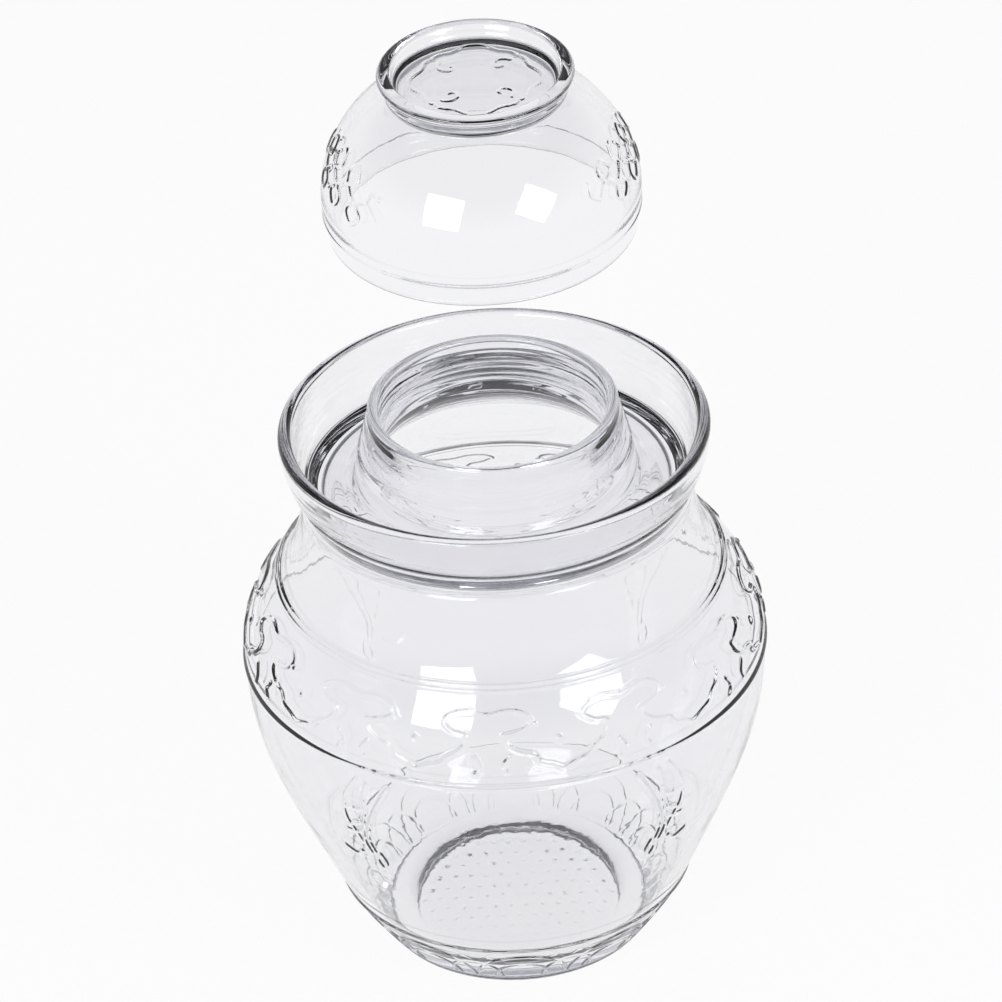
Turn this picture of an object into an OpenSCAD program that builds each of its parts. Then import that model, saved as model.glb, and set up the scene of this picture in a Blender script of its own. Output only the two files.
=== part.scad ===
// Water seal pickle jar in pressed glass: a body with a water channel round its mouth, and a bowl-shaped
// cover whose rim stands in that channel. The cover is drawn lifted above its seat.

/* [Foot] */
// Width of the standing ring
foot_d = 102; // [94:1:124]
// Height of the flared band above the foot
foot_band_h = 24; // [18:1:32]
// How far the flared band widens on its way up
foot_flare = 14.6; // [10:0.2:18]
// Rise of the hollow under the base
push_up = 2.6; // [1:0.1:4]

/* [Body] */
// Width at the belly line
belly_d = 194.4; // [180:1:236]
// Height from the flared band to the belly line
flank_h = 98; // [80:1:120]
// Height from the belly line to the shoulder ridge
band_h = 34; // [28:1:42]
// How far the shoulder ridge lies inside the belly
shoulder_in = 13.6; // [8:0.2:18]
// Height from the shoulder ridge to the root of the water channel
root_h = 37; // [28:1:46]
// Thickness of the body's wall
wall = 4.5; // [3:0.1:6]
// Thickness of the floor
floor_t = 9; // [7:0.5:12]

/* [Mouth and neck] */
// Bore of the mouth
mouth_d = 85; // [70:1:102]
// Thickness of the neck at its rim
neck_wall = 4; // [3:0.1:5]
// How far the neck widens from its rim to its root
neck_taper = 5.5; // [3:0.1:7]
// Height of the neck's rim above the floor of the channel
neck_h = 31; // [26:0.5:38]
// Straight length of the bore, below the rounded rim
bore_h = 17; // [12:0.5:20]

/* [Water channel] */
// Depth of the channel below its rim
channel_depth = 21.4; // [17:0.1:25]
// Water gap between the cover's rim and the foot of the channel's outer wall
channel_gap = 9.2; // [6:0.1:12]
// How much wider the channel is at its rim than at its floor
channel_splay = 8.8; // [6:0.1:11]
// Thickness of the channel's outer wall
channel_wall = 5.2; // [4:0.1:6.5]

/* [Cover] */
// Height of the cover
cover_h = 66; // [56:1:80]
// Thickness of the cover
cover_wall = 3.6; // [2.8:0.1:4.5]
// How far the bowl swells beyond its rim
cover_swell = 1.7; // [1:0.1:3]
// Width of the ring on top, which is the handle
ring_d = 72; // [60:1:86]
// Height of the ring above the bowl
ring_h = 8.6; // [7:0.2:12]
// Width of the top of the ring's wall
ring_wall = 5.5; // [4:0.1:7]
// Depth of the dished disc inside the ring
disc_depth = 4.8; // [3:0.1:6]

/* [Fits] */
// Free space between the cover's rim and the neck's root
cover_play = 1.2; // [0.8:0.1:2]
// Gap left under the cover's rim when it is down
seat_gap = 0.3; // [0.2:0.05:0.5]
// Height of the cover above its seat, as drawn
cover_lift = 108; // [60:1:130]

/* [Ridges] */
// Height of the ridge on the belly line
belly_ridge = 0.8; // [0.4:0.1:1.2]
// Width of the ridge on the belly line
belly_ridge_w = 3.2; // [2:0.1:4]
// Height of the fine ridges on the shoulder, the foot and the cover
fine_ridge = 0.6; // [0.3:0.1:0.9]
// Width of a fine ridge
fine_ridge_w = 2.2; // [1.6:0.1:3]

/* [Hidden] */
// Facets of a full turn, and points on each curve
$fn = 96;
STEPS = 12;

// Heights of the body, from the standing ring up
belly_z = foot_band_h + flank_h;
shoulder_z = belly_z + band_h;
root_z = shoulder_z + root_h;
channel_lip = 4;
channel_z = root_z + channel_lip;
channel_top = channel_z + channel_depth;
neck_top = channel_z + neck_h;

// Radii of the neck, the cover's rim and the channel, each worked out from the one inside it
bore_r = mouth_d / 2;
neck_r = bore_r + neck_wall;
neck_root_r = neck_r + neck_taper;
neck_fillet = 2.5;
cover_in_r = neck_root_r + cover_play;
cover_rim_r = cover_in_r + cover_wall;
channel_floor_r = cover_rim_r + channel_gap;
channel_in_r = channel_floor_r + channel_splay;
channel_out_r = channel_in_r + channel_wall;
root_r = channel_floor_r + channel_wall + 0.6;

// Radii of the body
foot_r = foot_d / 2;
foot_round = 2;
foot_ring_w = 12;
foot_band_r = foot_r + foot_flare;
belly_r = belly_d / 2;
shoulder_r = belly_r - shoulder_in;

// Slopes of the body's curves: sideways travel for each millimetre up
flank_slope = 0.45;
shoulder_slope = 0.72;
root_slope = 0.08;

// Glass below the channel, and the throat that opens out under it
channel_floor_t = 6;
throat_z = neck_top - neck_wall / 2 - bore_h;
ceiling_z = channel_z - channel_floor_t;

// The cover
cover_z = channel_z + seat_gap + cover_lift;
cover_r = cover_rim_r + cover_swell;
swell_z = 15;
ring_r = ring_d / 2;
waist_r = ring_r - 2.5;
waist_z = cover_h - ring_h - 0.4;
disc_z = cover_h - disc_depth;
disc_r = ring_r - ring_wall - 2.5;
disc_t = 4.6;

GLASS = [0.88, 0.88, 0.91, 0.5];

// Points along a cubic curve from a to d, steered by b and c
function curve(a, b, c, d, last = 1) = [
    for (i = [0:STEPS])
        let (t = last * i / STEPS, s = 1 - t)
        s * s * s * a + 3 * s * s * t * b + 3 * s * t * t * c + t * t * t * d
];

// Points on an arc
function arc(centre, r, start, end) = [
    for (i = [0:STEPS])
        let (a = start + (end - start) * i / STEPS)
        centre + r * [cos(a), sin(a)]
];

// A rounded ridge of height h on the outline, from p to q
function ridge(p, q, h) =
    let (along = q - p, out = [along.y, -along.x] / norm(along))
    [for (i = [0:STEPS]) let (t = i / STEPS) p + t * along + 4 * h * t * (1 - t) * out];

// The points of an outline moved sideways by t, to the left of its direction
function inset(points, t) = [
    for (i = [0:len(points) - 1])
        let (
            before = points[max(i - 1, 0)],
            after = points[min(i + 1, len(points) - 1)],
            along = (after - before) / norm(after - before)
        )
        points[i] + t * [-along.y, along.x]
];

// The same points in the opposite order
function reversed(points) = [for (i = [len(points) - 1:-1:0]) points[i]];

// A list of points without its first one, where it joins the list before
function rest_of(points) = [for (i = [1:len(points) - 1]) points[i]];

// Outline of the body between its ridges
foot_band = curve(
    [foot_r, foot_round],
    [foot_r + foot_flare * 0.34, foot_band_h * 0.37],
    [foot_r + foot_flare * 0.68, foot_band_h * 0.68],
    [foot_band_r, foot_band_h]
);
flank = curve(
    [foot_band_r + flank_slope * fine_ridge_w, foot_band_h + fine_ridge_w],
    [foot_band_r + flank_slope * flank_h * 0.46, foot_band_h + flank_h * 0.46],
    [belly_r, belly_z - flank_h * 0.32],
    [belly_r, belly_z - belly_ridge_w / 2]
);
ornament_band = curve(
    [belly_r, belly_z + belly_ridge_w / 2],
    [belly_r, belly_z + band_h * 0.45],
    [shoulder_r + shoulder_slope * band_h * 0.34, shoulder_z - band_h * 0.34],
    [shoulder_r + shoulder_slope * fine_ridge_w / 2, shoulder_z - fine_ridge_w / 2]
);
shoulder_end = [shoulder_r - shoulder_slope * fine_ridge_w, shoulder_z + fine_ridge_w];
shoulder_to_root = [
    shoulder_end,
    shoulder_end + root_h * 0.24 * [-shoulder_slope, 1],
    [root_r + root_slope * root_h * 0.36, root_z - root_h * 0.36],
    [root_r, root_z]
];
shoulder = curve(shoulder_to_root[0], shoulder_to_root[1], shoulder_to_root[2], shoulder_to_root[3]);

// The part of the shoulder that has the body's plain wall behind it
walled_share = 0.76;
walled_shoulder = curve(
    shoulder_to_root[0], shoulder_to_root[1], shoulder_to_root[2], shoulder_to_root[3], walled_share
);

// The hollow base and the rounded standing ring
function jar_underside() = concat(
    curve([0, push_up], [foot_r * 0.4, push_up], [foot_r * 0.74, push_up * 0.9], [foot_r - foot_ring_w, 0]),
    arc([foot_r - foot_round, foot_round], foot_round, -90, -8)
);

// The body from the foot up to the root of the channel
function jar_outside() = concat(
    rest_of(foot_band),
    rest_of(ridge(foot_band[STEPS], flank[0], fine_ridge)),
    rest_of(flank),
    rest_of(ridge(flank[STEPS], ornament_band[0], belly_ridge)),
    rest_of(ornament_band),
    let (middle = (ornament_band[STEPS] + shoulder_end) / 2)
    concat(
        rest_of(ridge(ornament_band[STEPS], middle, fine_ridge)),
        rest_of(ridge(middle, shoulder_end, fine_ridge))
    ),
    rest_of(shoulder)
);

// The channel's outer wall, over its rim and down to its floor
function channel_walls() = concat(
    rest_of(curve(
        [root_r, root_z],
        [root_r + 3, root_z + channel_lip],
        [channel_out_r, channel_z + channel_depth * 0.45],
        [channel_out_r, channel_top - channel_wall / 2]
    )),
    rest_of(arc(
        [channel_out_r - channel_wall / 2, channel_top - channel_wall / 2],
        channel_wall / 2,
        0,
        180
    )),
    rest_of(curve(
        [channel_in_r, channel_top - channel_wall / 2],
        [channel_in_r, channel_z + channel_depth * 0.42],
        [channel_in_r - channel_splay * 0.3, channel_z],
        [channel_floor_r, channel_z]
    ))
);

// The neck from the channel's floor up and over its rim
function neck_walls() = concat(
    arc([neck_root_r + neck_fillet, channel_z + neck_fillet], neck_fillet, -90, -180),
    rest_of(curve(
        [neck_root_r, channel_z + neck_fillet],
        [neck_root_r - 0.1, channel_z + neck_h * 0.4],
        [neck_r + neck_taper * 0.15, neck_top - neck_h * 0.3],
        [neck_r, neck_top - neck_wall / 2]
    )),
    rest_of(arc([neck_r - neck_wall / 2, neck_top - neck_wall / 2], neck_wall / 2, 0, 180))
);

// The inside, from the bore down through the throat to the floor
function jar_inside() =
    let (
        plain = inset(concat(flank, ornament_band, walled_shoulder), wall),
        plain_top = plain[len(plain) - 1],
        ceiling_r = channel_floor_r - 6
    )
    concat(
        curve(
            [bore_r, throat_z],
            [bore_r, throat_z - (throat_z - ceiling_z) * 0.5],
            [bore_r + (ceiling_r - bore_r) * 0.4, ceiling_z],
            [ceiling_r, ceiling_z]
        ),
        rest_of(curve(
            [ceiling_r, ceiling_z],
            [ceiling_r + (plain_top.x - ceiling_r) * 0.7, ceiling_z],
            [plain_top.x - root_slope * 4, plain_top.y + 4],
            plain_top
        )),
        rest_of(reversed(plain)),
        rest_of(curve(
            plain[0],
            plain[0] - foot_band_h * 0.4 * [flank_slope, 1],
            [foot_r, floor_t],
            [foot_r - foot_ring_w + 3, floor_t]
        )),
        [[0, floor_t]]
    );

// The bowl from its widest place up to the waist under the ring
function crown() = curve(
    [cover_r, swell_z],
    [cover_r, swell_z + (waist_z - swell_z) * 0.42],
    [waist_r + 14, waist_z - 9.5],
    [waist_r, waist_z]
);

// The bowl from its rim up, with a fine ridge a little above the rim
function bowl_outside() =
    let (
        line_low = [cover_r - 0.5, swell_z * 0.53],
        line_high = line_low + [0, fine_ridge_w]
    )
    concat(
        curve(
            [cover_rim_r, cover_wall / 2],
            [cover_rim_r + 0.3, line_low.y * 0.5],
            [line_low.x - 0.3, line_low.y * 0.75],
            line_low
        ),
        rest_of(ridge(line_low, line_high, fine_ridge * 0.6)),
        rest_of(curve(line_high, line_high + [0.3, 1.5], [cover_r, swell_z - 1.5], [cover_r, swell_z])),
        rest_of(crown())
    );

// The ring on top and the slope down to the disc inside it
function ring_outline() =
    let (edge = 1.6)
    concat(
        rest_of(curve(
            [waist_r, waist_z],
            [waist_r - 1, waist_z + 1.2],
            [ring_r - 1.4, waist_z + ring_h * 0.4],
            [ring_r, cover_h - edge]
        )),
        rest_of(arc([ring_r - edge, cover_h - edge], edge, 0, 90)),
        arc([ring_r - ring_wall + edge, cover_h - edge], edge, 90, 180),
        rest_of(curve(
            [ring_r - ring_wall, cover_h - edge],
            [ring_r - ring_wall, disc_z + 1],
            [disc_r + 2, disc_z],
            [disc_r, disc_z]
        ))
    );

// The inside of the cover, from the middle down to the rim
function cover_inside() =
    let (
        wall_line = concat([[cover_rim_r, cover_wall / 2], [cover_rim_r + 0.5, 5]], crown()),
        inner = inset(wall_line, cover_wall),
        ceiling = inner[len(inner) - 1]
    )
    concat(
        [[0, disc_z - disc_t]],
        reversed(curve(
            ceiling,
            ceiling + [-3.3, 2.2],
            [ceiling.x - 7, disc_z - disc_t],
            [ceiling.x - 12, disc_z - disc_t]
        )),
        rest_of(reversed(inner))
    );

module jar() {
    color(GLASS)
        rotate_extrude()
            polygon(concat(
                jar_underside(),
                jar_outside(),
                channel_walls(),
                neck_walls(),
                jar_inside()
            ));
}

module lid() {
    color(GLASS)
        translate([0, 0, cover_z])
            rotate_extrude()
                polygon(concat(
                    arc([cover_rim_r - cover_wall / 2, cover_wall / 2], cover_wall / 2, 180, 360),
                    rest_of(bowl_outside()),
                    ring_outline(),
                    [[0, disc_z]],
                    cover_inside()
                ));
}

jar();
lid();
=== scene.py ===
"""Looks of a water seal pickle jar in clear pressed glass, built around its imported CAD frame."""

import math

import bpy
import numpy as np
from mathutils import Matrix, Vector


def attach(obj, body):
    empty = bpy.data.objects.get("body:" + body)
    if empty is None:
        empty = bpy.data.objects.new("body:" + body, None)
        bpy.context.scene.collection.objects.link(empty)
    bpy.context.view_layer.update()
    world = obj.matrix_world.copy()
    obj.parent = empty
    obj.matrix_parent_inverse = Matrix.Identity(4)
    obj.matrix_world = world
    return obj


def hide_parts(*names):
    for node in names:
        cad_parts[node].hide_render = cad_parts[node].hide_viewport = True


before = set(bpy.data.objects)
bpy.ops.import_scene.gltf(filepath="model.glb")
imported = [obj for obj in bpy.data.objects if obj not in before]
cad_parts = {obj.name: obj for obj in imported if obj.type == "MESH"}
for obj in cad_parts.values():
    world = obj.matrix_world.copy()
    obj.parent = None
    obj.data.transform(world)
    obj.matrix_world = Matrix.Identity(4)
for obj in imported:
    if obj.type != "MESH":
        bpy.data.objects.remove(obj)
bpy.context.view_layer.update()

# All outlines below are in millimetres, as in the part's source
MM = 0.001
TURN = 1200
CURVE_STEPS = 60

# Sizes of the body
foot_r = 51.0
foot_round = 2.0
foot_ring_w = 12.0
foot_flare = 14.6
foot_band_r = foot_r + foot_flare
foot_band_h = 24.0
push_up = 2.6
floor_overlap = 3.0
floor_r = foot_r - foot_ring_w + floor_overlap
floor_t = 9.0
wall = 4.5
belly_r = 97.2
flank_h = 98.0
flank_slope = 0.45
belly_z = foot_band_h + flank_h
shoulder_r = 83.6
shoulder_slope = 0.72
band_h = 34.0
shoulder_z = belly_z + band_h
root_r = 71.8
root_h = 37.0
root_slope = 0.08
root_z = shoulder_z + root_h
walled_share = 0.76

# Sizes of the neck and the water channel
bore_r = 42.5
neck_wall = 4.0
neck_r = bore_r + neck_wall
neck_taper = 5.5
neck_root_r = neck_r + neck_taper
neck_fillet = 2.5
neck_h = 31.0
channel_z = 197.0
channel_depth = 21.4
channel_top = channel_z + channel_depth
neck_top = channel_z + neck_h
channel_floor_r = 66.0
channel_splay = 8.8
channel_in_r = channel_floor_r + channel_splay
channel_wall = 5.2
channel_out_r = channel_in_r + channel_wall
channel_lip = 4.0
throat_z = 209.0
ceiling_z = 191.0
ceiling_inset = 6.0
ceiling_r = channel_floor_r - ceiling_inset

# Sizes of the cover
cover_z = 305.3
cover_h = 66.0
cover_wall = 3.6
cover_rim_r = 56.8
cover_r = 58.5
swell_z = 15.0
ring_r = 36.0
ring_h = 8.6
ring_wall = 5.5
ring_edge = 1.6
waist_r = 33.5
waist_z = 57.0
disc_z = 61.2
disc_r = 28.0
disc_t = 4.6
cover_ceiling_z = disc_z - disc_t

# Ridges that the outline carries
belly_ridge = 0.8
belly_ridge_w = 3.2
fine_ridge = 0.6
fine_ridge_w = 2.2
cover_ridge = fine_ridge * 0.6


def cubic(a, b, c, d, last=1.0):
    """Points along a cubic curve from a to d, steered by b and c."""
    t = np.linspace(0, last, CURVE_STEPS + 1)[:, None]
    a, b, c, d = (np.array(p, float) for p in (a, b, c, d))
    s = 1 - t
    return s**3 * a + 3 * s * s * t * b + 3 * s * t * t * c + t**3 * d


def arc(centre, radius, start, end):
    """Points on an arc, between angles in degrees."""
    t = np.radians(np.linspace(start, end, CURVE_STEPS // 2))[:, None]
    return np.array(centre, float) + radius * np.hstack([np.cos(t), np.sin(t)])


def ridge(p, q, height):
    """A rounded ridge on the outline, from p to q."""
    p, q = np.array(p, float), np.array(q, float)
    t = np.linspace(0, 1, CURVE_STEPS // 2)[:, None]
    along = q - p
    out = np.array([along[1], -along[0]]) / np.linalg.norm(along)
    return p + t * along + 4 * height * t * (1 - t) * out


def inset(points, distance):
    """The points of an outline moved sideways, to the left of its direction."""
    along = np.gradient(points, axis=0)
    along /= np.linalg.norm(along, axis=1)[:, None]
    return points + distance * np.stack([-along[:, 1], along[:, 0]], 1)


def line_run(points):
    """Length of a line from its start to each of its points."""
    return np.concatenate([[0], np.cumsum(np.linalg.norm(np.diff(points, axis=0), axis=1))])


def spaced(points, step):
    """The same line with points a step apart."""
    lengths = np.linalg.norm(np.diff(points, axis=0), axis=1)
    points = points[np.concatenate([[True], lengths > 1e-9])]
    run = line_run(points)
    count = max(2, int(round(run[-1] / step)) + 1)
    at = np.linspace(0, run[-1], count)
    return np.stack([np.interp(at, run, points[:, k]) for k in (0, 1)], 1)


def smooth_line(points, per_span=8):
    """A smooth line through listed points."""
    p = np.array(points, float)
    p = np.vstack([2 * p[0] - p[1], p, 2 * p[-1] - p[-2]])
    t = np.linspace(0, 1, per_span, endpoint=False)[:, None]
    spans = []
    for a, b, c, d in zip(p[:-3], p[1:-2], p[2:-1], p[3:]):
        slope = (c - a) * t
        bend = (2 * a - 5 * b + 4 * c - d) * t**2
        twist = (3 * b - a - 3 * c + d) * t**3
        spans.append(0.5 * (2 * b + slope + bend + twist))
    return np.vstack(spans + [p[-2:-1]])


def line_distance(x, y, line):
    """Distance from each point to the nearest place on a line."""
    best = np.full(x.shape, 1e9)
    for (ax, ay), (bx, by) in zip(line[:-1], line[1:]):
        dx, dy = bx - ax, by - ay
        t = np.clip(((x - ax) * dx + (y - ay) * dy) / max(dx * dx + dy * dy, 1e-12), 0, 1)
        best = np.minimum(best, (x - ax - t * dx) ** 2 + (y - ay - t * dy) ** 2)
    return np.sqrt(best)


def bead(distance, half_width, height):
    """A rounded thread of glass along a line."""
    return height * np.clip(1 - (distance / half_width) ** 2, 0, 1) ** 2


# Lines of the reliefs are in degrees round the axis and millimetres of height
# Each RADIUS turns degrees into millimetres, and each BEAD is a thread's half width and height

# The cloud border round the shoulder is one continuous line with two strokes and two dots a repeat
CLOUD_REPEATS = 11
CLOUD_TURN = 360 / CLOUD_REPEATS
CLOUD_RADIUS = 92
CLOUD_BEAD = (1.35, 0.75)
CLOUD_LINE = [
    (-1.5, 142.2), (-0.9, 139.2), (1.8, 136.4), (5.0, 135.0), (6.4, 132.0), (9.2, 130.4),
    (11.5, 128.8), (14.2, 130.4), (17.0, 131.8), (18.8, 134.6), (21.0, 136.6), (22.6, 139.6),
    (22.4, 142.3), (19.6, 143.2), (17.4, 146.0), (19.2, 148.6), (23.2, 149.6), (27.5, 148.6),
    (32.0, 149.7), (35.6, 149.1), (37.6, 146.8), (36.6, 144.3), (33.6, 142.8), (31.2, 142.2),
]
BUD_STROKES = [
    [(24.6, 134.6), (25.6, 131.2), (24.9, 127.8)],
    [(32.4, 134.6), (31.0, 131.4), (31.6, 128.6)],
]
CLOUD_DOTS = [(11.0, 139.5, 2.0), (5.8, 145.3, 1.2)]
CLOUD_DOT_HEIGHT = 0.9

# The leaf sprays on the lower body, one on each side of the plain front, and the same behind
SPRAY_CENTRE = 36.0
SPRAY_REACH = 13
SPRAY_RADIUS = 84
SPRAY_BEAD = (0.9, 0.4)
SPRAY_LINES = [
    [(28.5, 116.0), (32.0, 105.0), (34.6, 95.0), (36.0, 86.0), (35.4, 79.0)],
    [(33.5, 116.0), (35.0, 108.0), (35.4, 100.0), (36.6, 92.0), (37.4, 84.0), (36.6, 78.0)],
    [(36.4, 116.5), (39.0, 110.0), (40.6, 103.0), (41.0, 95.0), (39.2, 88.0), (38.2, 83.0)],
    [(36.6, 95.0), (38.6, 93.4), (41.0, 90.6)],
    [(35.2, 103.0), (37.4, 101.4), (40.4, 101.0)],
    [(37.0, 90.0), (39.4, 88.0), (42.0, 87.6)],
    [(34.0, 79.0), (33.2, 74.0), (34.6, 70.0), (35.6, 74.6), (34.0, 79.0)],
    [(39.6, 77.0), (42.0, 73.6), (45.4, 75.4)],
]

# The petals round the foot: middle and half width in degrees, and height of the tip
PETAL_TURN = 36.0
PETAL_RADIUS = 59
PETAL_ROOT_Z = 4
PETAL_BEAD = (1.0, 0.5)
PETALS = [(0, 17, 20.5), (0, 10.5, 14), (18, 10, 15.5), (-18, 10, 15.5)]

# The rows of bumps under the base
STIPPLE_PITCH = 6.0
STIPPLE_REACH = 37
STIPPLE_BEAD = (1.5, 0.22)

# Height of the faint rings on the pressed walls
MOULD_RING_HEIGHT = 0.07

# The leaf sprays on the cover's sides, in degrees from the spray's middle and height above the rim
COVER_SPRAY_AT = (-72.0, 76.0)
COVER_SPRAY_REACH = 34
COVER_SPRAY_RADIUS = 56
COVER_SPRAY_BEAD = (0.95, 0.5)
COVER_SPRAY_LINES = [
    [(-26, 30), (-20, 34), (-13, 31), (-6, 35), (1, 32), (8, 35), (15, 31), (22, 33), (28, 29)],
    [(-20, 34), (-22, 38), (-17, 40), (-14, 36), (-20, 34)],
    [(-6, 35), (-9, 39), (-4, 42), (0, 38), (-6, 35)],
    [(8, 35), (6, 39), (11, 41), (14, 37), (8, 35)],
    [(-13, 31), (-16, 27), (-12, 24), (-8, 28), (-13, 31)],
    [(1, 32), (-2, 28), (2, 24), (6, 28), (1, 32)],
    [(15, 31), (12, 27), (16, 23), (20, 27), (15, 31)],
    [(22, 33), (24, 37), (28, 36)],
    [(-26, 30), (-30, 33), (-29, 37)],
]

# The cloud on the disc, in millimetres from the disc's middle
DISC_CLOUD_R = 21.5
DISC_LOBE = 2.6
DISC_NOTCH = 2.2
DISC_BEAD = (1.0, 0.5)
CURL_COUNT = 4
CURL_AT = 13.5
CURL_SIZE = 4.6
CURL_TIGHTENING = 0.85
CURL_TURN = 4.2
CURL_BEAD = (0.9, 0.45)


def mm_per_degree(radius):
    """Length of one degree of turn at a radius."""
    return math.radians(1) * radius


def degrees_from(theta, middle):
    """Angles in degrees on either side of a middle."""
    return (np.degrees(theta) - middle + 180) % 360 - 180


def heights_over(theta, points):
    """Height of each point of an outline, repeated round the turn."""
    return points[:, 1][:, None] + 0 * theta


def plan_of(theta, points):
    """Places seen from above, to the right and to the back."""
    r = points[:, 0][:, None]
    return r * np.sin(theta), -r * np.cos(theta)


def cloud_border(theta, points):
    """Relief of the border between the shoulder's ridges and the belly's."""
    scale = mm_per_degree(CLOUD_RADIUS)
    z = heights_over(theta, points)
    here = (np.degrees(theta) % CLOUD_TURN)[None, :] + 0 * z
    near = np.full(z.shape, 1e9)
    dots = np.zeros(z.shape)
    for shift in (-CLOUD_TURN, 0, CLOUD_TURN):
        x = (here + shift) * scale
        for line in [CLOUD_LINE] + BUD_STROKES:
            near = np.minimum(near, line_distance(x, z, smooth_line(line) * [scale, 1]))
        for angle, height, radius in CLOUD_DOTS:
            d = np.hypot(x - angle * scale, z - height)
            dots = np.maximum(dots, bead(d, radius, CLOUD_DOT_HEIGHT))
    return np.maximum(bead(near, *CLOUD_BEAD), dots)


def spray(x, z, paths, reach, radius, thread):
    """Relief of one spray, from its lines in degrees on either side of its middle."""
    scale = mm_per_degree(radius)
    column = np.abs(x) < reach
    across = x[column][None, :] * scale + 0 * z[:, column]
    out = np.zeros(z.shape)
    for path in paths:
        d = line_distance(across, z[:, column], path * [scale, 1])
        out[:, column] = np.maximum(out[:, column], bead(d, *thread))
    return out


def flank_sprays(theta, points):
    """Relief of the leaf sprays on the lower body."""
    z = heights_over(theta, points)
    paths = [smooth_line(line) - [SPRAY_CENTRE, 0] for line in SPRAY_LINES]
    out = np.zeros(z.shape)
    for middle in (SPRAY_CENTRE, 180 - SPRAY_CENTRE):
        for side in (1, -1):
            x = side * degrees_from(theta, side * middle)
            out = np.maximum(out, spray(x, z, paths, SPRAY_REACH, SPRAY_RADIUS, SPRAY_BEAD))
    return out


def foot_petals(theta, points):
    """Relief of the overlapping petals round the foot."""
    scale = mm_per_degree(PETAL_RADIUS)
    z = heights_over(theta, points)
    x = ((np.degrees(theta) + PETAL_TURN / 2) % PETAL_TURN - PETAL_TURN / 2)[None, :] + 0 * z
    t = np.radians(np.linspace(0, 180, 37))
    out = np.zeros(z.shape)
    for middle, half_width, top in PETALS:
        across = (middle + half_width * np.cos(t)) * scale
        path = np.stack([across, PETAL_ROOT_Z + (top - PETAL_ROOT_Z) * np.sin(t)], 1)
        out = np.maximum(out, bead(line_distance(x * scale, z, path), *PETAL_BEAD))
    return out


def base_stipple(theta, points):
    """Rows of small bumps under the base, every second row shifted by half a pitch."""
    x, y = plan_of(theta, points)
    row = np.round(y / STIPPLE_PITCH)
    half = STIPPLE_PITCH / 2
    dx = (x - half * (row % 2) + half) % STIPPLE_PITCH - half
    dy = y - row * STIPPLE_PITCH
    return bead(np.hypot(dx, dy), *STIPPLE_BEAD) * (points[:, 0][:, None] < STIPPLE_REACH)


def mould_rings(theta, points):
    """Faint rings that the mould and the plunger leave on a pressed wall."""
    run = line_run(points)[:, None]
    slow = 0.5 * np.sin(theta * 2 + 0.7) + 0.3 * np.sin(theta * 5 + 2)
    wave = np.sin(run * 2.1 + slow) + 0.7 * np.sin(run * 3.7 + 1.3 + slow) + 0.5 * np.sin(run * 0.9 + 2)
    fade = np.sin(np.pi * run / run[-1]) ** 0.5
    return MOULD_RING_HEIGHT * wave * fade


def cover_sprays(theta, points):
    """Relief of the leaf sprays on the sides of the cover."""
    z = heights_over(theta, points - [0, cover_z])
    paths = [smooth_line(line) for line in COVER_SPRAY_LINES]
    out = np.zeros(z.shape)
    for middle in COVER_SPRAY_AT:
        x = degrees_from(theta, middle)
        relief = spray(x, z, paths, COVER_SPRAY_REACH, COVER_SPRAY_RADIUS, COVER_SPRAY_BEAD)
        out = np.maximum(out, relief)
    return out


def disc_cloud(theta, points):
    """Relief of the cloud outline and its curls on the dished disc."""
    x, y = plan_of(theta, points)
    turn = np.radians(np.linspace(0, 360, 241))
    lobes = DISC_LOBE * np.abs(np.cos(2 * turn)) ** 0.6
    notches = DISC_NOTCH * np.abs(np.sin(4 * turn)) ** 3
    edge = DISC_CLOUD_R + lobes - notches
    outline = np.stack([edge * np.sin(turn), -edge * np.cos(turn)], 1)
    out = bead(line_distance(x, y, outline), *DISC_BEAD)
    spin = np.linspace(0, CURL_TURN, 30)
    size = CURL_SIZE - CURL_TIGHTENING * spin
    for k in range(CURL_COUNT):
        middle = math.radians(45 + 360 / CURL_COUNT * k)
        cx, cy = CURL_AT * math.sin(middle), -CURL_AT * math.cos(middle)
        curl = np.stack([cx + size * np.sin(spin + middle), cy - size * np.cos(spin + middle)], 1)
        out = np.maximum(out, bead(line_distance(x, y, curl), *CURL_BEAD))
    return out


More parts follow.
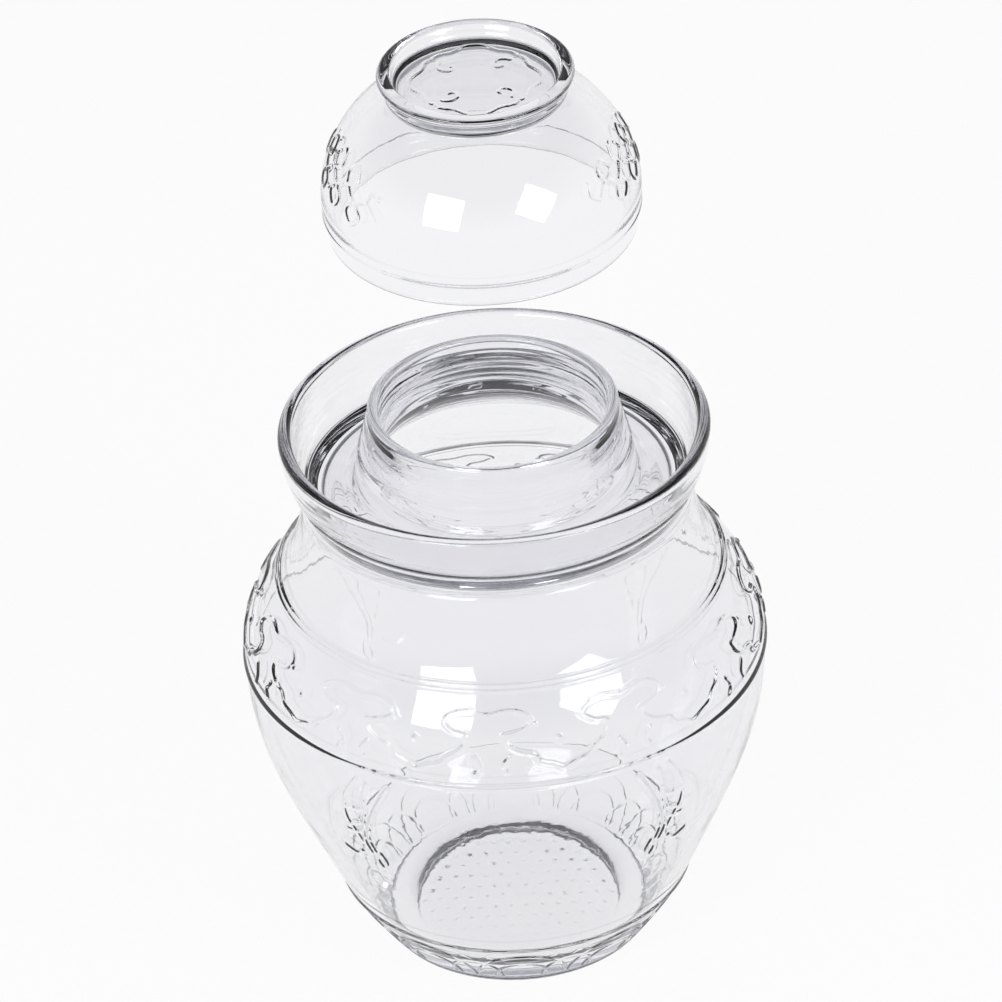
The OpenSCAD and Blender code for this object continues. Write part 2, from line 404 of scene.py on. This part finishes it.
def jar_sections():
    """The body's outline from the middle of the base round to the middle of the floor.

    Each section is its points, the step between its rings in millimetres, and its relief.
    """
    foot_band = cubic(
        (foot_r, foot_round),
        (foot_r + foot_flare * 0.34, foot_band_h * 0.37),
        (foot_r + foot_flare * 0.68, foot_band_h * 0.68),
        (foot_band_r, foot_band_h),
    )
    flank = cubic(
        (foot_band_r + flank_slope * fine_ridge_w, foot_band_h + fine_ridge_w),
        (foot_band_r + flank_slope * flank_h * 0.46, foot_band_h + flank_h * 0.46),
        (belly_r, belly_z - flank_h * 0.32),
        (belly_r, belly_z - belly_ridge_w / 2),
    )
    band = cubic(
        (belly_r, belly_z + belly_ridge_w / 2),
        (belly_r, belly_z + band_h * 0.45),
        (shoulder_r + shoulder_slope * band_h * 0.34, shoulder_z - band_h * 0.34),
        (shoulder_r + shoulder_slope * fine_ridge_w / 2, shoulder_z - fine_ridge_w / 2),
    )
    start = np.array([shoulder_r - shoulder_slope * fine_ridge_w, shoulder_z + fine_ridge_w])
    steer = [
        start,
        start + root_h * 0.24 * np.array([-shoulder_slope, 1]),
        (root_r + root_slope * root_h * 0.36, root_z - root_h * 0.36),
        (root_r, root_z),
    ]
    shoulder = cubic(*steer)
    walled = inset(np.vstack([flank, band, cubic(*steer, last=walled_share)]), wall)
    low, top = walled[0], walled[-1]
    middle = (band[-1] + start) / 2
    rim_z = channel_top - channel_wall / 2
    lip_z = neck_top - neck_wall / 2
    drop = throat_z - ceiling_z
    base = cubic(
        (0, push_up),
        (foot_r * 0.4, push_up),
        (foot_r * 0.74, push_up * 0.9),
        (foot_r - foot_ring_w, 0),
    )
    outer_channel = cubic(
        (root_r, root_z),
        (root_r + 3, root_z + channel_lip),
        (channel_out_r, channel_z + channel_depth * 0.45),
        (channel_out_r, rim_z),
    )
    inner_channel = cubic(
        (channel_in_r, rim_z),
        (channel_in_r, channel_z + channel_depth * 0.42),
        (channel_in_r - channel_splay * 0.3, channel_z),
        (channel_floor_r, channel_z),
    )
    neck = cubic(
        (neck_root_r, channel_z + neck_fillet),
        (neck_root_r - 0.1, channel_z + neck_h * 0.4),
        (neck_r + neck_taper * 0.15, neck_top - neck_h * 0.3),
        (neck_r, lip_z),
    )
    throat = cubic(
        (bore_r, throat_z),
        (bore_r, throat_z - drop * 0.5),
        (bore_r + (ceiling_r - bore_r) * 0.4, ceiling_z),
        (ceiling_r, ceiling_z),
    )
    ceiling = cubic(
        (ceiling_r, ceiling_z),
        (ceiling_r + (top[0] - ceiling_r) * 0.7, ceiling_z),
        (top[0] - root_slope * 4, top[1] + 4),
        top,
    )
    floor_curve = cubic(
        low,
        low - foot_band_h * 0.4 * np.array([flank_slope, 1]),
        (foot_r, floor_t),
        (floor_r, floor_t),
    )
    return [
        (base, 0.75, base_stipple),
        (arc((foot_r - foot_round, foot_round), foot_round, -90, -8), 0.6, None),
        (foot_band, 0.55, foot_petals),
        (ridge(foot_band[-1], flank[0], fine_ridge), 0.35, None),
        (flank, 0.75, flank_sprays),
        (ridge(flank[-1], band[0], belly_ridge), 0.35, None),
        (band, 0.5, cloud_border),
        (ridge(band[-1], middle, fine_ridge), 0.3, None),
        (ridge(middle, start, fine_ridge), 0.3, None),
        (shoulder, 1.2, None),
        (outer_channel, 1.0, mould_rings),
        (arc((channel_out_r - channel_wall / 2, rim_z), channel_wall / 2, 0, 180), 0.5, None),
        (inner_channel, 1.0, mould_rings),
        (arc((neck_root_r + neck_fillet, channel_z + neck_fillet), neck_fillet, -90, -180), 0.5, None),
        (neck, 1.0, mould_rings),
        (arc((neck_r - neck_wall / 2, lip_z), neck_wall / 2, 0, 180), 0.5, None),
        (np.array([(bore_r, lip_z), (bore_r, throat_z)]), 1.2, None),
        (throat, 1.0, mould_rings),
        (ceiling, 1.5, None),
        (walled[::-1], 2.0, None),
        (floor_curve, 1.5, None),
        (np.array([(floor_r, floor_t), (0, floor_t)]), 3.0, None),
    ]


def lid_sections():
    """The cover's outline from the middle of its ceiling round to the middle of its disc.

    Each section is its points, the step between its rings in millimetres, and its relief.
    """
    line_low = np.array([cover_r - 0.5, swell_z * 0.53])
    line_high = line_low + [0, fine_ridge_w]
    low_bowl = cubic(
        (cover_rim_r, cover_wall / 2),
        (cover_rim_r + 0.3, line_low[1] * 0.5),
        (line_low[0] - 0.3, line_low[1] * 0.75),
        line_low,
    )
    swell = cubic(line_high, line_high + [0.3, 1.5], (cover_r, swell_z - 1.5), (cover_r, swell_z))
    crown = cubic(
        (cover_r, swell_z),
        (cover_r, swell_z + (waist_z - swell_z) * 0.42),
        (waist_r + 14, waist_z - 9.5),
        (waist_r, waist_z),
    )
    ring_side = cubic(
        (waist_r, waist_z),
        (waist_r - 1, waist_z + 1.2),
        (ring_r - 1.4, waist_z + ring_h * 0.4),
        (ring_r, cover_h - ring_edge),
    )
    ring_in_r = ring_r - ring_wall
    dish = cubic(
        (ring_in_r, cover_h - ring_edge),
        (ring_in_r, disc_z + 1),
        (disc_r + 2, disc_z),
        (disc_r, disc_z),
    )
    inner = inset(np.vstack([[(cover_rim_r, cover_wall / 2), (cover_rim_r + 0.5, 5)], crown]), cover_wall)
    top = inner[-1]
    ceiling = cubic(
        top,
        top + np.array([-3.3, 2.2]),
        (top[0] - 7, cover_ceiling_z),
        (top[0] - 12, cover_ceiling_z),
    )
    sections = [
        (np.array([(0.0, cover_ceiling_z), (ceiling[-1][0], cover_ceiling_z)]), 2.5, None),
        (ceiling[::-1], 1.5, None),
        (inner[::-1], 1.6, None),
        (arc((cover_rim_r - cover_wall / 2, cover_wall / 2), cover_wall / 2, 180, 360), 0.5, None),
        (low_bowl, 0.8, None),
        (ridge(line_low, line_high, cover_ridge), 0.35, None),
        (swell, 0.8, None),
        (crown, 0.6, cover_sprays),
        (ring_side, 0.7, None),
        (arc((ring_r - ring_edge, cover_h - ring_edge), ring_edge, 0, 90), 0.4, None),
        (arc((ring_in_r + ring_edge, cover_h - ring_edge), ring_edge, 90, 180), 0.4, None),
        (dish, 0.6, None),
        (np.array([(disc_r, disc_z), (0.0, disc_z)]), 0.6, disc_cloud),
    ]
    lift = np.array([0, cover_z])
    return [(points + lift, step, relief) for points, step, relief in sections]


def lathe(name, sections):
    """A closed turned body whose surface carries the relief of each section."""
    theta = np.linspace(0, 2 * math.pi, TURN, endpoint=False)
    rows, heights = [], []
    for number, (points, step, relief) in enumerate(sections):
        points = spaced(points, step)
        height = relief(theta, points) if relief else np.zeros((len(points), TURN))
        # A relief on a wall ends flush with its neighbours, and one on the axis has no such ends
        if relief not in (None, base_stipple, disc_cloud):
            height[0] = 0
            height[-1] = 0
        first = 1 if number else 0
        rows.append(points[first:])
        heights.append(height[first:])
    profile, height = np.vstack(rows), np.vstack(heights)
    along = np.gradient(profile, axis=0)
    length = np.linalg.norm(along, axis=1)[:, None]
    out = np.stack([along[:, 1], -along[:, 0]], 1) / np.maximum(length, 1e-9)
    body, lift, normal = profile[1:-1], height[1:-1], out[1:-1]
    r = np.maximum(body[:, :1] + lift * normal[:, :1], 0.01)
    z = body[:, 1:] + lift * normal[:, 1:]
    co = np.stack([r * np.sin(theta), -r * np.cos(theta), z], 2).reshape(-1, 3)
    poles = np.array([[0, 0, profile[0, 1]], [0, 0, profile[-1, 1]]])
    co = np.vstack([co, poles]) * MM
    rings = len(body)
    ring = np.arange(TURN)
    after = (ring + 1) % TURN
    start = np.arange(rings - 1)[:, None] * TURN
    corners = [start + ring, start + after, start + TURN + after, start + TURN + ring]
    quads = np.stack(corners, 2).reshape(-1, 4)
    last = (rings - 1) * TURN
    low_fan = np.stack([np.full(TURN, rings * TURN), after, ring], 1)
    high_fan = np.stack([np.full(TURN, rings * TURN + 1), last + ring, last + after], 1)
    mesh = bpy.data.meshes.new(name)
    mesh.from_pydata(co.tolist(), [], quads.tolist() + low_fan.tolist() + high_fan.tolist())
    mesh.polygons.foreach_set("use_smooth", np.ones(len(mesh.polygons), bool))
    mesh.update()
    piece = bpy.data.objects.new(name, mesh)
    bpy.context.scene.collection.objects.link(piece)
    return piece


def glass_material():
    """Clear pressed glass: faintly grey, very slightly wavy, with a smooth skin."""
    material = bpy.data.materials.new("clear_pressed_glass")
    material.use_nodes = True
    nodes, links = material.node_tree.nodes, material.node_tree.links
    shader = nodes["Principled BSDF"]
    shader.inputs["Transmission Weight"].default_value = 1.0
    shader.inputs["Roughness"].default_value = 0.02
    shader.inputs["IOR"].default_value = 1.5
    place = nodes.new("ShaderNodeTexCoord")
    cloudy = nodes.new("ShaderNodeTexNoise")
    cloudy.inputs["Scale"].default_value = 14
    cloudy.inputs["Detail"].default_value = 2
    tint = nodes.new("ShaderNodeMix")
    tint.data_type = "RGBA"
    tint.inputs["A"].default_value = (0.925, 0.925, 0.94, 1)
    tint.inputs["B"].default_value = (0.95, 0.95, 0.96, 1)
    links.new(place.outputs["Object"], cloudy.inputs["Vector"])
    links.new(cloudy.outputs["Fac"], tint.inputs["Factor"])
    links.new(tint.outputs["Result"], shader.inputs["Base Color"])
    ripple = nodes.new("ShaderNodeTexNoise")
    ripple.inputs["Scale"].default_value = 55
    ripple.inputs["Detail"].default_value = 3
    bump = nodes.new("ShaderNodeBump")
    bump.inputs["Strength"].default_value = 0.12
    bump.inputs["Distance"].default_value = 0.0006
    links.new(place.outputs["Object"], ripple.inputs["Vector"])
    links.new(ripple.outputs["Fac"], bump.inputs["Height"])
    links.new(bump.outputs["Normal"], shader.inputs["Normal"])
    absorb = nodes.new("ShaderNodeVolumeAbsorption")
    absorb.inputs["Color"].default_value = (0.80, 0.80, 0.86, 1)
    absorb.inputs["Density"].default_value = 14
    links.new(absorb.outputs["Volume"], nodes["Material Output"].inputs["Volume"])
    return material


def seen_directly(nodes, links):
    """1 for rays that the eye, a reflection or a view through glass follows, and 0 for rays of light."""
    path = nodes.new("ShaderNodeLightPath")
    eye_or_gloss = nodes.new("ShaderNodeMath")
    eye_or_gloss.operation = "ADD"
    links.new(path.outputs["Is Camera Ray"], eye_or_gloss.inputs[0])
    links.new(path.outputs["Is Glossy Ray"], eye_or_gloss.inputs[1])
    seen = nodes.new("ShaderNodeMath")
    seen.operation = "ADD"
    seen.use_clamp = True
    links.new(eye_or_gloss.outputs[0], seen.inputs[0])
    links.new(path.outputs["Is Transmission Ray"], seen.inputs[1])
    return seen.outputs[0]


def add_floor():
    """A pale floor that keeps a soft shadow."""
    size = 8.0
    white_share = 0.93
    mesh = bpy.data.meshes.new("floor")
    corners = [(-size, -size, 0), (size, -size, 0), (size, size, 0), (-size, size, 0)]
    mesh.from_pydata(corners, [], [(0, 1, 2, 3)])
    floor = bpy.data.objects.new("floor", mesh)
    bpy.context.scene.collection.objects.link(floor)
    material = bpy.data.materials.new("floor")
    material.use_nodes = True
    nodes, links = material.node_tree.nodes, material.node_tree.links
    nodes.remove(nodes["Principled BSDF"])
    matt = nodes.new("ShaderNodeBsdfDiffuse")
    matt.inputs["Color"].default_value = (0.9, 0.9, 0.9, 1)
    white = nodes.new("ShaderNodeEmission")
    white.inputs["Color"].default_value = (1, 1, 1, 1)
    white.inputs["Strength"].default_value = 1.0
    share = nodes.new("ShaderNodeMath")
    share.operation = "MULTIPLY"
    share.inputs[1].default_value = white_share
    links.new(seen_directly(nodes, links), share.inputs[0])
    mix = nodes.new("ShaderNodeMixShader")
    links.new(share.outputs[0], mix.inputs["Fac"])
    links.new(matt.outputs["BSDF"], mix.inputs[1])
    links.new(white.outputs["Emission"], mix.inputs[2])
    links.new(mix.outputs["Shader"], nodes["Material Output"].inputs["Surface"])
    mesh.materials.append(material)


def add_world():
    """A white surround that turns grey overhead, as a studio does above its backdrop."""
    white_up_to, grey_from = 0.18, 0.62
    overhead = (0.30, 0.30, 0.33, 1)
    world = bpy.data.worlds.new("studio")
    bpy.context.scene.world = world
    world.use_nodes = True
    nodes, links = world.node_tree.nodes, world.node_tree.links
    back = nodes["Background"]
    place = nodes.new("ShaderNodeTexCoord")
    split = nodes.new("ShaderNodeSeparateXYZ")
    links.new(place.outputs["Generated"], split.inputs["Vector"])
    ramp = nodes.new("ShaderNodeValToRGB")
    low, high = ramp.color_ramp.elements
    low.position = white_up_to
    low.color = (1, 1, 1, 1)
    high.position = grey_from
    high.color = overhead
    links.new(split.outputs["Z"], ramp.inputs["Fac"])
    path = nodes.new("ShaderNodeLightPath")
    pick = nodes.new("ShaderNodeMix")
    pick.data_type = "RGBA"
    pick.inputs["B"].default_value = (1, 1, 1, 1)
    links.new(path.outputs["Is Camera Ray"], pick.inputs["Factor"])
    links.new(ramp.outputs["Color"], pick.inputs["A"])
    links.new(pick.outputs["Result"], back.inputs["Color"])
    back.inputs["Strength"].default_value = 1.0


def add_softbox(name, azimuth, elevation, width, height, roll, radiance):
    """A soft light, placed by its direction from the object, in degrees."""
    distance = 1.15
    middle = Vector((0, 0, 0.2))
    a, e = math.radians(azimuth), math.radians(elevation)
    away = Vector((math.sin(a) * math.cos(e), -math.cos(a) * math.cos(e), math.sin(e)))
    light = bpy.data.lights.new(name, "AREA")
    light.shape = "RECTANGLE"
    light.size = width
    light.size_y = height
    light.energy = radiance * math.pi * width * height
    lamp = bpy.data.objects.new(name, light)
    turn = away.to_track_quat("Z", "Y").to_matrix().to_4x4()
    roll_turn = Matrix.Rotation(math.radians(roll), 4, "Z")
    lamp.matrix_world = Matrix.Translation(middle + away * distance) @ turn @ roll_turn
    bpy.context.scene.collection.objects.link(lamp)


def add_camera():
    """The photograph's view: from in front and above, with the picture turned a little."""
    target = Vector((0.0012, 0, 0.1835))
    distance = 4.0
    elevation = math.radians(33.7)
    roll = math.radians(3.0)
    back = Vector((0, -math.cos(elevation), math.sin(elevation)))
    level_right = Vector((1, 0, 0))
    level_up = back.cross(level_right)
    right = math.cos(roll) * level_right - math.sin(roll) * level_up
    up = math.sin(roll) * level_right + math.cos(roll) * level_up
    data = bpy.data.cameras.new("camera")
    data.lens = 388.0
    data.sensor_width = 36
    camera = bpy.data.objects.new("camera", data)
    turn = Matrix((right, up, back)).transposed().to_4x4()
    camera.matrix_world = Matrix.Translation(target + back * distance) @ turn
    bpy.context.scene.collection.objects.link(camera)
    bpy.context.scene.camera = camera


add_camera()
add_world()
add_floor()
add_softbox("softbox_left", azimuth=-30, elevation=30, width=0.5, height=0.5, roll=0, radiance=6.0)
add_softbox("softbox_right", azimuth=42, elevation=30, width=0.45, height=0.45, roll=45, radiance=6.0)

glass = glass_material()
for node, sections in (("jar", jar_sections()), ("lid", lid_sections())):
    piece = lathe(node + "_glass", sections)
    piece.data.materials.append(glass)
    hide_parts(node)
    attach(piece, node)
    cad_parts[node].data.materials.clear()
    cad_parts[node].data.materials.append(glass)

bpy.context.scene.view_settings.view_transform = "Standard"
